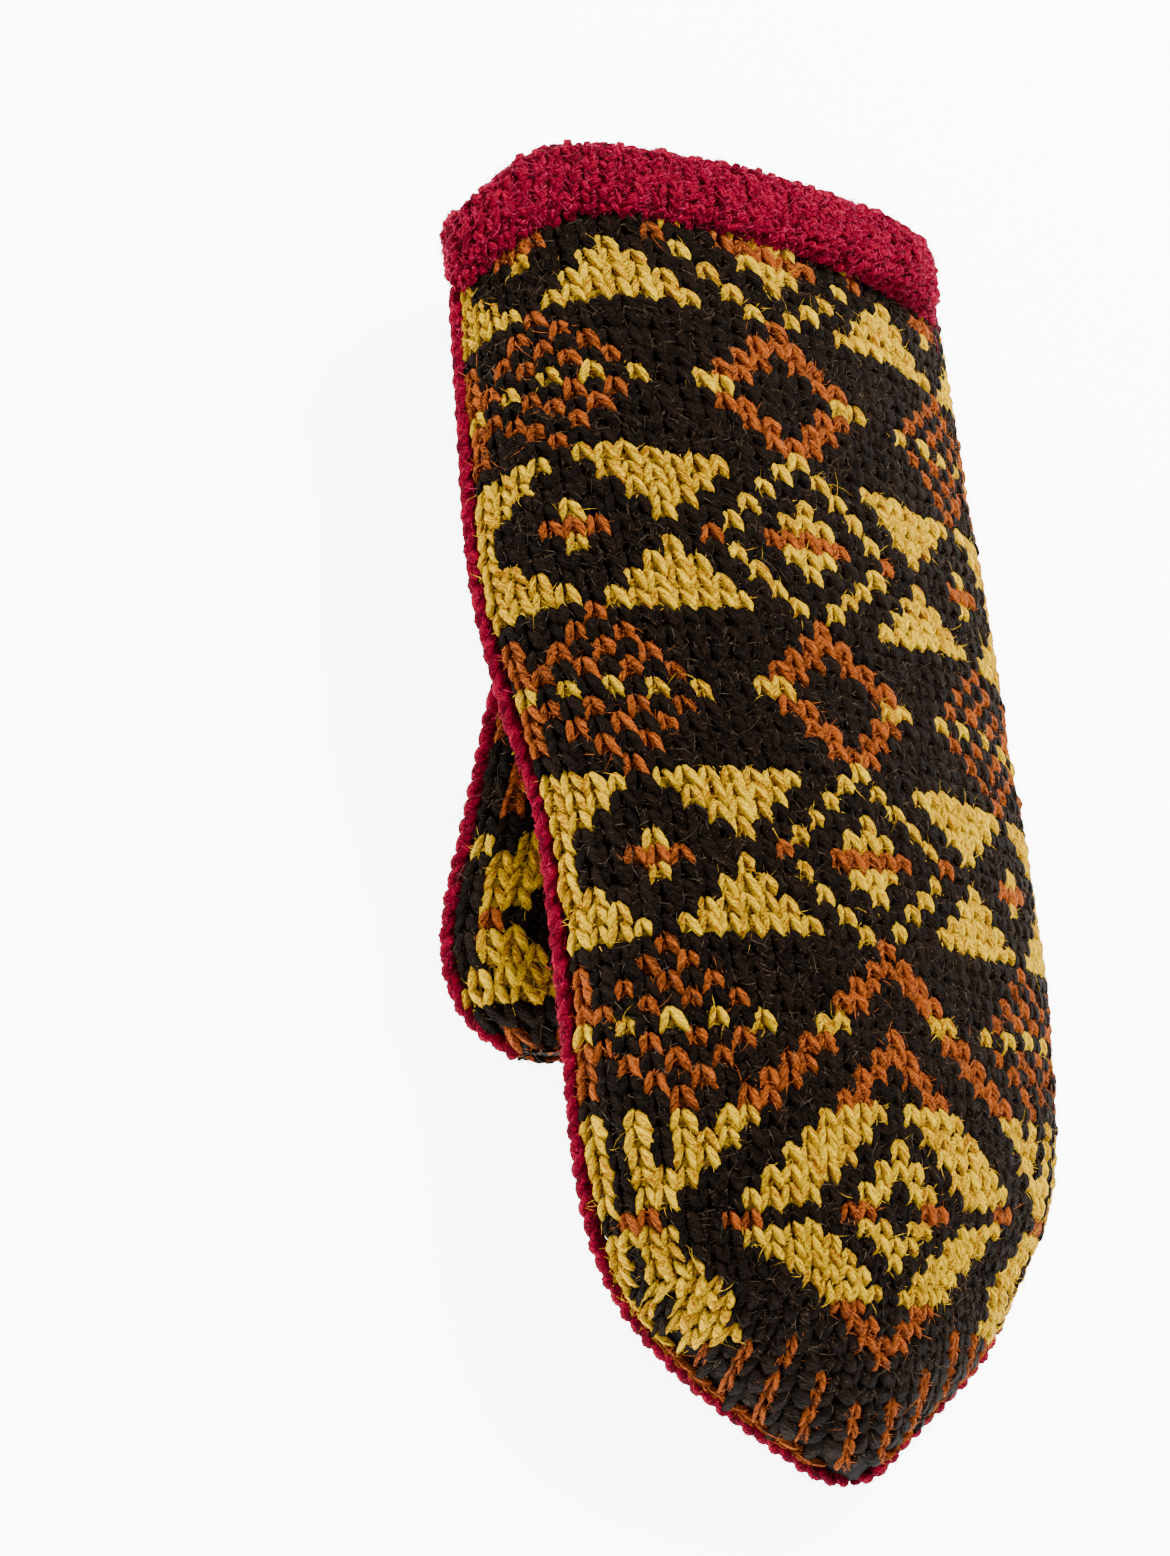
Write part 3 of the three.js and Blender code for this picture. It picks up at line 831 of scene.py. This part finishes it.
def woollen(name, group, dark, light, roughness, specular, strength, depth):
    """A material whose colour lies between two sRGB colours, with a relief, and with a node group
    that reads the piece's own place. Also returns the group's node and the sockets for the shade
    and the height."""
    material = bpy.data.materials.new(name)
    material.use_nodes = True
    nodes, links = material.node_tree.nodes, material.node_tree.links
    shader = nodes["Principled BSDF"]
    shader.inputs["Roughness"].default_value = roughness
    shader.inputs["Specular IOR Level"].default_value = specular
    place = nodes.new("ShaderNodeTexCoord")
    pattern = nodes.new("ShaderNodeGroup")
    pattern.node_tree = group
    links.new(place.outputs["Object"], pattern.inputs["Place"])
    mix = nodes.new("ShaderNodeMix")
    mix.data_type = "RGBA"
    mix.inputs["A"].default_value = (*linear(*dark), 1)
    mix.inputs["B"].default_value = (*linear(*light), 1)
    links.new(mix.outputs["Result"], shader.inputs["Base Color"])
    relief = nodes.new("ShaderNodeBump")
    relief.inputs["Strength"].default_value = strength
    relief.inputs["Distance"].default_value = depth
    links.new(relief.outputs["Normal"], shader.inputs["Normal"])
    return material, pattern, mix.inputs["Factor"], relief.inputs["Height"]


def wool(name, dark, light, depth=0.0009):
    """A yarn's material: its colour runs from dark, which is painted shade between the plies, to light
    on the fibres.
    """
    material, pattern, shade, height = woollen(name, TWISTED_YARN_AND_PLY_SHADE, dark, light, 0.88, 0.05, 0.9, depth)
    nodes, links = material.node_tree.nodes, material.node_tree.links
    uv = nodes.new("ShaderNodeUVMap")
    uv.uv_map = "yarn"
    parts = nodes.new("ShaderNodeSeparateXYZ")
    links.new(uv.outputs[0], parts.inputs[0])
    tone = nodes.new("ShaderNodeAttribute")
    tone.attribute_name = "tone"
    links.new(parts.outputs[0], pattern.inputs["Along"])
    links.new(parts.outputs[1], pattern.inputs["Around"])
    links.new(tone.outputs["Fac"], pattern.inputs["Tone"])
    links.new(pattern.outputs["Shade"], shade)
    links.new(pattern.outputs["Height"], height)
    return material


def felt(name, dark, light):
    """Felted wool for the ground under the stitches and for loose fibres: a colour broken by flecks.
    The ground's dark colours are partly painted shade, and the fibres' light colours are partly painted
    highlight.
    """
    material, pattern, *sockets = woollen(name, FELTED_WOOL, dark, light, 0.95, 0.1, 0.8, 0.0004)
    for socket in sockets:
        material.node_tree.links.new(pattern.outputs["Fleck"], socket)
    return material


# Each yarn's dark colour is painted shade between its plies; its light colour is the yarn's own.
WOOLS = {
    BLACK: wool("black_wool", (1, 1, 0), (36, 24, 15), 0.0014),
    YELLOW: wool("yellow_wool", (156, 88, 0), (255, 208, 0)),
    ORANGE: wool("orange_wool", (58, 24, 7), (188, 93, 31)),
    RED: wool("red_wool", (34, 0, 7), (178, 0, 52)),
}
# Near-black ground, darker than the black yarn: partly the black yarn behind the stitches, partly
# painted shade in the gaps between them.
GROUND_WOOL_AND_GAP_SHADE = felt("ground_wool_and_gap_shade", (6, 5, 4), (20, 16, 14))
# Dark red core: partly the red yarn inside the roll, partly painted shade in the gaps between its
# stitches.
CUFF_CORE_WOOL_AND_SHADE = felt("cuff_core_wool_and_shade", (40, 0, 8), (84, 0, 16))
# Loose fibres, lighter than their yarns: partly their own paler colour, partly painted highlight on the
# fine fibres.
FIBRES = {
    BLACK: felt("grey_fibre_and_highlight", (34, 26, 18), (120, 104, 82)),
    YELLOW: felt("yellow_fibre_and_highlight", (190, 130, 0), (255, 214, 40)),
    ORANGE: felt("orange_fibre_and_highlight", (140, 58, 12), (226, 122, 48)),
    RED: felt("red_fibre_and_highlight", (110, 0, 30), (235, 50, 104)),
}
# The nap on the black yarn runs from its own near-black to a light brown, which is painted highlight.
NAPS = {**FIBRES, BLACK: felt("dark_nap_and_highlight", (20, 13, 7), (104, 80, 58))}


def lay_stitches(prefix, cells, yarns, outward, legs):
    """One piece for each yarn, from the cells of all stitches."""
    for yarn, label in YARN_NAMES.items():
        pick = yarns == yarn
        if not pick.any():
            continue
        picked = [v[pick] for v in cells]
        points, quads, tris, uv, tone = stitch_arrays(picked, outward, legs, *THREAD[yarn])
        bed_points, bed_tris, bed_uv, bed_tone = bed_arrays(picked, outward)
        tris = np.concatenate([tris, bed_tris + len(points)])
        points = np.concatenate([points, bed_points])
        uv = np.concatenate([uv, bed_uv])
        tone = np.concatenate([tone, bed_tone])
        make_object(f"{prefix}_{label}_stitches", points, quads, tris, WOOLS[yarn], uv=uv, tone=tone)


HAIRS = {  # loose fibres for each stitch, by piece and yarn
    "back": {BLACK: 3.2, YELLOW: 2.2, ORANGE: 2.2},
    "palm": {BLACK: 1.4, YELLOW: 1.0, ORANGE: 1.0},
    "thumb_top": {BLACK: 4.0, YELLOW: 2.4, ORANGE: 2.4},
    "thumb_under": {BLACK: 4.0, YELLOW: 2.4, ORANGE: 2.4},
    "cuff": {RED: 2.4},
    "lines": {RED: 1.0},
}
SPIKES = {  # spikes of nap for each stitch
    "back": dict.fromkeys((BLACK, YELLOW, ORANGE), 10),
    "thumb_top": dict.fromkeys((BLACK, YELLOW, ORANGE), 12),
    "thumb_under": dict.fromkeys((BLACK, YELLOW, ORANGE), 12),
    "cuff": {RED: 15},
}
HAIR_LENGTH = 2.0
RED_HAIR_LENGTH = 1.6
HAIR_RADIUS = (0.028, 0.05)
HAIR_HEIGHT = 0.30  # above the middle of a stitch
HAIR_LIFT = (0.28, 0.22)  # mean and spread of its slope away from the wool
HAIR_CURL = 0.75  # spread of its bend, as a share of its length
SPIKE_LENGTH = 0.9
SPIKE_RADIUS = (0.045, 0.085)
SPIKE_HEIGHT = (0.1, 0.6)
SPIKE_LEAN = 0.55  # how strongly spikes point outwards


def scattered(cells, yarns, shares):
    """Random spots on the stitches of each yarn, so many for each stitch. Yields the yarn, the spots
    and the vectors of the stitches that they lie on."""
    for yarn, share in shares.items():
        pool = np.flatnonzero(yarns == yarn)
        count = int(len(pool) * share)
        if count:
            pick = random.choice(pool, count)
            middle, across, along, normal = (v[pick] for v in cells)
            spot = random.uniform(-0.5, 0.5, (count, 2))
            yield yarn, middle + spot[:, :1] * across + spot[:, 1:] * along, across, along, normal


def fibres(prefix, cells, yarns):
    """Loose fibres: thin bent hairs that leave the stitches and lie over them. Each is a spindle of
    two three-sided rings along start + length (t way + t^2 curl), with a random curl."""
    for yarn, spot, across, along, normal in scattered(cells, yarns, HAIRS[prefix]):
        count = len(spot)
        start = spot + HAIR_HEIGHT * normal
        turn = random.uniform(0, 2 * np.pi, (count, 1))
        flat = np.cos(turn) * unit(across) + np.sin(turn) * unit(along)
        lift = np.abs(random.normal(*HAIR_LIFT, (count, 1)))
        length = RED_HAIR_LENGTH if yarn == RED else HAIR_LENGTH
        length = length * random.lognormal(0, 0.3, (count, 1))
        side = np.cross(flat, normal)
        curl = random.normal(0, HAIR_CURL, (count, 1)) * side - 0.35 * lift * normal
        t = np.array([0, 0.33, 0.67, 1.0])[None, :, None]
        bent = t * (flat + lift * normal)[:, None] + t**2 * curl[:, None]
        line = start[:, None] + length[:, None] * bent
        angle = 2 * np.pi * np.arange(3)[None, :, None] / 3
        ring = np.cos(angle) * side[:, None] + np.sin(angle) * normal[:, None]
        thick = random.uniform(*HAIR_RADIUS, (count, 1, 1))
        points = np.concatenate([
            line[:, :1], line[:, 1:2] + thick * ring, line[:, 2:3] + 0.8 * thick * ring, line[:, 3:4],
        ], axis=1)
        tris, quads = [], []
        for k in range(3):
            a, b = 1 + k, 1 + (k + 1) % 3
            tris += [(0, b, a), (7, a + 3, b + 3)]
            quads.append((a, b, b + 3, a + 3))
        make_object(f"{prefix}_{YARN_NAMES[yarn]}_fibres", points, copies(quads, count, 8),
                    copies(tris, count, 8), FIBRES[yarn], yarn=yarn)


def nap(prefix, cells, yarns):
    """The nap of the wool: short straight three-sided spikes that lean out of the stitches."""
    for yarn, spot, _, _, normal in scattered(cells, yarns, SPIKES[prefix]):
        count = len(spot)
        start = spot + random.uniform(*SPIKE_HEIGHT, (count, 1)) * normal
        way = unit(unit(random.normal(0, 1, (count, 3))) + SPIKE_LEAN * normal)
        side = unit(np.cross(way, normal + 0.01))
        other = np.cross(way, side)
        thick = random.uniform(*SPIKE_RADIUS, (count, 1))
        tip = start + way * SPIKE_LENGTH * random.lognormal(0, 0.4, (count, 1))
        corners = [start + thick * (math.cos(a) * side + math.sin(a) * other) for a in (0.0, 2.1, 4.2)]
        points = np.stack([*corners, tip], axis=1)
        tris = copies([(0, 1, 3), (1, 2, 3), (2, 0, 3), (2, 1, 0)], count, 4)
        make_object(f"{prefix}_{YARN_NAMES[yarn]}_nap", points, [], tris, NAPS[yarn], yarn=yarn)


# The knitted faces: the back, a strip at its little-finger edge, the palm, the thumb and the cuff.
back = hand_face(1)
c, r, yarns = hand_stitches(back_chart)
middle, across, along, normal = hand_cells(back, c, r)
cells, yarns = with_rims(back, (middle, across * bar_width(c, r, yarns), along, normal), yarns)
lay_stitches("back", cells, yarns, -1, FINE_LEGS)
fibres("back", cells, yarns)
nap("back", cells, yarns)

r = np.arange(1, BAR_ROW + 1)
cells = edge_face().cell(row_place(r + 0.3), np.full(len(r), 0.47), 0.5 / EDGE_STRIP)
lay_stitches("finger_edge", cells, back_chart(np.full(len(r), EDGE_WING), r), -1, FINE_LEGS)

palm = hand_face(-1)
c, r, yarns = hand_stitches(palm_chart)
cells, yarns = with_rims(palm, hand_cells(palm, c, r), yarns)
clear = ~in_thumb(cells[0])
cells, yarns = [v[clear] for v in cells], yarns[clear]
lay_stitches("palm", cells, yarns, 1, COARSE_LEGS)
fibres("palm", cells, yarns)

for side, chart in ((1, thumb_top_chart), (-1, thumb_under_chart)):
    face = thumb_face(side)
    c, r = (v.ravel() for v in np.meshgrid(np.arange(-5, 6), np.arange(-8, 18)))
    edge = np.interp(r, [11, 18], [THUMB_EDGE_COLUMN, 0.8])
    keep = np.abs(c) <= edge - 0.5
    c, r, edge = c[keep], r[keep], edge[keep]
    cells = face.cell(r + 0.5, (c + edge) / (2 * edge), 0.5 / (2 * edge))
    clear = ~in_hand(cells[0]) & (cells[0][:, 1] < THUMB["at"][0] - 1)
    cells, yarns = [v[clear] for v in cells], chart(c, r)[clear]
    label = "thumb_top" if side > 0 else "thumb_under"
    lay_stitches(label, cells, yarns, -side, FINE_LEGS if side > 0 else COARSE_LEGS)
    fibres(label, cells, yarns)
    nap(label, cells, yarns)

c, r = (
    v.ravel().astype(float) for v in np.meshgrid(np.arange(CUFF_COLUMNS), np.arange(CUFF_ROWS))
)
middle, across, along, normal = cuff_face().cell(
    r + 0.5, (c + 0.5) / CUFF_COLUMNS, 0.5 / CUFF_COLUMNS
)
cells, yarns = (middle, across, -along, normal), np.full(len(c), RED)
points, quads, tris, uv, tone = stitch_arrays(cells, 1, COARSE_LEGS, scatter=CUFF_SCATTER)
make_object("cuff_stitches", points, quads, tris, WOOLS[RED], uv=uv, tone=tone, yarn=RED)
fibres("cuff", cells, yarns)
nap("cuff", cells, yarns)


def closed_tube(rings):
    """Rings of equally many points joined in turn, each end closed to its middle."""
    n, m = rings.shape[:2]
    points = np.concatenate([rings.reshape(-1, 3), rings[:1].mean(axis=1), rings[-1:].mean(axis=1)])
    k = np.arange(m)
    after = (k + 1) % m
    base = np.arange(n - 1)[:, None] * m
    quads = np.stack([base + k, base + after, base + m + after, base + m + k], axis=2).reshape(-1, 4)
    first = np.stack([np.full(m, n * m), after, k], axis=1)
    last = np.stack([np.full(m, n * m + 1), (n - 1) * m + k, (n - 1) * m + after], axis=1)
    return points, quads, np.concatenate([first, last])


def tube_ring(table, at, inset, skews, floor):
    """One ring of a tube's wall: over the back from the left edge, and back under the palm."""
    s = {k: float(v) for k, v in section(table, at, inset).items()}
    u = np.cos(np.linspace(np.pi, 0, 65))
    top = height(s, u, 1, skews[0])
    low = height(s, u, -1, skews[1], floor)
    x = between(s["left"], s["right"], u)
    y = -at * ROW - sag(at, u) if table is HAND else np.full_like(x, at)
    return np.concatenate([
        np.stack([x, y, top], axis=1),
        np.stack([x, y, low], axis=1)[-2:0:-1],
    ])


def ground(name, table, stops, skews, lid, nodes):
    """A wall under the stitches: out along `stops` at YARN_DEPTH, and back inside at WALL."""
    rings = []
    for inset, run in ((YARN_DEPTH, stops), (WALL, stops[-3::-1])):
        for at in run:
            ring = tube_ring(table, at, inset, skews, inset)
            if lid and at < SPLIT_Y:
                ring[:, 2] = np.minimum(ring[:, 2], underside(ring[:, 0], ring[:, 1]) - GAP - inset)
            rings.append(ring)
    rings = np.array(rings)
    # The tube's ends are its two points in the tip; its rim is where the wall turns back.
    turned = len(stops)
    order = np.concatenate([np.arange(turned)[::-1], np.arange(turned, len(rings))[::-1]])
    points, quads, tris = closed_tube(rings[order])
    make_object(name, points, quads, tris, GROUND_WOOL_AND_GAP_SHADE, nodes)


hand_stops = np.concatenate([
    np.linspace(CUFF_ROW - 0.8, 56, 44), np.linspace(57, TIP_ROW - 0.05, 16),
])
thumb_stops = np.concatenate([np.linspace(-64, -87.9, 12), np.linspace(-88.1, -132.8, 30)])
ground("hand_ground", HAND, hand_stops, (BACK_SKEW, PALM_SKEW), False, ("hand_shell",))
ground("thumb_ground", THUMB, thumb_stops, (THUMB_SKEW, 0.0), True, ("thumb_shell",))

core = cuff_surface(np.arange(CUFF_ROWS * 2) / 2.0, YARN_DEPTH, YARN_DEPTH)[:, :-1]
n, m = core.shape[:2]
i, k = (v.ravel() for v in np.meshgrid(np.arange(n), np.arange(m), indexing="ij"))
next_i, next_k = (i + 1) % n, (k + 1) % m
quads = np.stack([i * m + k, i * m + next_k, next_i * m + next_k, next_i * m + k], axis=1)
make_object("cuff_core", core, quads, [], CUFF_CORE_WOOL_AND_SHADE, ("cuff_roll",), yarn=RED)


def rope(name, path, node):
    """Two strands wound round a path, half a turn apart, one turn in two rows. Each is a closed tube
    that swells a little once in a row. Returns places for loose fibres."""
    length = distances(path)[-1]
    count = int(length / LINE_STEP)
    at = np.linspace(0, length, count)
    line = walk(path, at)
    ahead = unit(np.gradient(line, axis=0))
    up = unit(np.array([0, 0, 1.0]) - ahead * ahead[:, 2:])
    side = np.cross(ahead, up)
    u, v = at / LINE_PATTERN, np.arange(LINE_RING + 1) / LINE_RING
    u0, u1 = (np.repeat(part, LINE_RING) for part in (u[:-1], u[1:]))
    v0, v1 = (np.tile(part, count - 1) for part in (v[:-1], v[1:]))
    corners = ((u0, v0), (u0, v1), (u1, v1), (u1, v0))
    quad_uv = np.stack([np.stack(corner, axis=1) for corner in corners], axis=1).reshape(-1, 2)
    end_uv = np.zeros((2 * LINE_RING * 3, 2))
    strands, start = [], 0
    for phase in (0.0, np.pi):
        turn = -2 * np.pi * at / (2 * ROW) + phase
        out = np.cos(turn)[:, None] * side + np.sin(turn)[:, None] * up
        centre = line + LINE_TURN * out
        second = unit(np.cross(unit(np.gradient(centre, axis=0)), out))
        fat = LINE_STRAND * (1 + 0.10 * np.sin(2 * np.pi * at / ROW + phase + 0.8))
        fat *= np.clip(np.minimum(at, at[-1] - at) / 1.5 + 0.25, 0, 1)
        angle = (2 * np.pi * np.arange(LINE_RING) / LINE_RING)[None, :, None]
        rings = centre[:, None] + fat[:, None, None] * (
            np.cos(angle) * out[:, None] + np.sin(angle) * second[:, None]
        )
        points, quads, tris = closed_tube(rings)
        strands.append((points, quads + start, tris + start))
        start += len(points)
    points, quads, tris = (np.concatenate(part) for part in zip(*strands))
    uv = np.concatenate([quad_uv, quad_uv, end_uv, end_uv])
    tone = 0.5 + 0.3 * np.sin(points[:, 1] * 0.9)
    make_object(name, points, quads, tris, WOOLS[RED], (node,), uv, tone, RED)
    hairs = int(length * LINE_HAIRS)
    pick = random.integers(1, count - 1, hairs)
    angle = random.uniform(0, 2 * np.pi, (hairs, 1))
    out = np.cos(angle) * side[pick] + np.sin(angle) * up[pick]
    return line[pick] + 0.8 * out, ahead[pick] * 0.5, np.cross(ahead[pick], out) * 0.5, out


def edge_path(table, stops, side):
    """The path of an edge line, LINE_OUT outside the left (-1) or right (1) edge of a tube. On the
    hand's right it lies LINE_UNDER round towards the palm, up to where the fingertip draws in."""
    s = section(table, stops)
    y, u = stops, np.full(len(stops), float(side))
    if table is HAND:
        y = -stops * ROW - sag(stops, float(side))
    if table is HAND and side > 0:
        u = 1 - LINE_UNDER * (1 - np.clip((stops - 55) / 9, 0, 1))
    x = between(s["left"], s["right"], u) + side * LINE_OUT
    z = height(s, u, -1, PALM_SKEW)
    return np.stack([x, y, np.maximum(z, LINE_LOW)], axis=1)


TIP_MIDDLE = (6.4, -TIP_ROW * ROW + 0.2, 10.0)  # where the hand's two lines meet
hand_run = np.linspace(CUFF_ROW - 1.0, TIP_ROW - 0.5, 300)
hair_cells = []
for name, table, run, side in (
    ("edge_line_thumb_side", HAND, hand_run, -1),
    ("edge_line_finger_side", HAND, hand_run, 1),
    ("thumb_line_outer", THUMB, np.linspace(-79.0, -133.4, 100), -1),
    ("thumb_line_inner", THUMB, np.linspace(-89.0, -133.4, 90), 1),
):
    path = edge_path(table, run, side)
    if table is HAND:
        path = np.concatenate([path, [TIP_MIDDLE]])
    hair_cells.append(rope(name + "_rope", path, name))
hair_cells = [np.concatenate(v) for v in zip(*hair_cells)]
fibres("lines", hair_cells, np.full(len(hair_cells[0]), RED))

# The stage: a floor that glows a little, so that it stays white, soft light and the camera.
floor_matt = bpy.data.materials.new("pale_floor")
floor_matt.use_nodes = True
for label, value in (
    ("Base Color", (0.9, 0.9, 0.9, 1)), ("Roughness", 0.9),
    ("Emission Color", (1, 1, 1, 1)), ("Emission Strength", 8.0),
):
    floor_matt.node_tree.nodes["Principled BSDF"].inputs[label].default_value = value
floor_mesh = bpy.data.meshes.new("floor")
floor_mesh.from_pydata([(-3, -3, 0), (3, -3, 0), (3, 3, 0), (-3, 3, 0)], [], [(0, 1, 2, 3)])
floor_mesh.materials.append(floor_matt)
floor = bpy.data.objects.new("floor", floor_mesh)
bpy.context.scene.collection.objects.link(floor)
floor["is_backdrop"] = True

world = bpy.data.worlds.new("studio")
bpy.context.scene.world = world
world.use_nodes = True
world.node_tree.nodes["Background"].inputs["Color"].default_value = (0.95, 0.97, 1.0, 1)
world.node_tree.nodes["Background"].inputs["Strength"].default_value = 0.55


def area_light(name, place, aim, size, power):
    """A square light at `place`, turned to `aim`, both in metres."""
    light = bpy.data.lights.new(name, "AREA")
    light.size = size
    light.energy = power
    lamp = bpy.data.objects.new(name, light)
    lamp.location = place
    away = np.array(place) - np.array(aim)
    tilt = math.atan2(math.hypot(away[0], away[1]), away[2])
    lamp.rotation_euler = (tilt, 0, math.atan2(away[0], -away[1]))
    bpy.context.scene.collection.objects.link(lamp)


area_light("key", (0.35, 0.55, 0.9), (0, 0, 0.02), 0.35, 42)
area_light("fill", (-0.8, -0.5, 0.7), (0, 0, 0.02), 0.9, 6)

# The camera: fitted to counted stitches of the photo. Angles in degrees, lengths in mm.
CAMERA = {
    "azimuth": -50.9,
    "elevation": 63.8,
    "roll": 50.15,
    "distance": 392.0,
    "target": (-33.0, -92.1, 20.0),
}
FOCAL_PIXELS = 2524.0
PHOTO_HEIGHT = 1556.0
SENSOR = 36.0

azimuth, elevation, roll = (math.radians(CAMERA[k]) for k in ("azimuth", "elevation", "roll"))
back_way = np.array([
    math.sin(azimuth) * math.cos(elevation),
    -math.cos(azimuth) * math.cos(elevation),
    math.sin(elevation),
])
right_way = unit(np.cross(-back_way, (0, 0, 1.0)))
up_way = np.cross(back_way, right_way)
right_turned = math.cos(roll) * right_way + math.sin(roll) * up_way
up_turned = -math.sin(roll) * right_way + math.cos(roll) * up_way
eye = (np.array(CAMERA["target"]) - ORIGIN + back_way * CAMERA["distance"]) * 0.001

camera_data = bpy.data.cameras.new("camera")
camera_data.sensor_width = SENSOR
camera_data.lens = SENSOR * FOCAL_PIXELS / PHOTO_HEIGHT
camera_data.clip_start = 0.01
camera_data.dof.use_dof = False
camera = bpy.data.objects.new("camera", camera_data)
camera.matrix_world = Matrix([
    [*(float(v[i]) for v in (right_turned, up_turned, back_way)), float(eye[i])] for i in range(3)
] + [[0, 0, 0, 1]])
bpy.context.scene.collection.objects.link(camera)
bpy.context.scene.camera = camera

boxes = {"cad": CAD_BOX, "visual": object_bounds()}
{name: [list(corner) for corner in box] for name, box in boxes.items()}
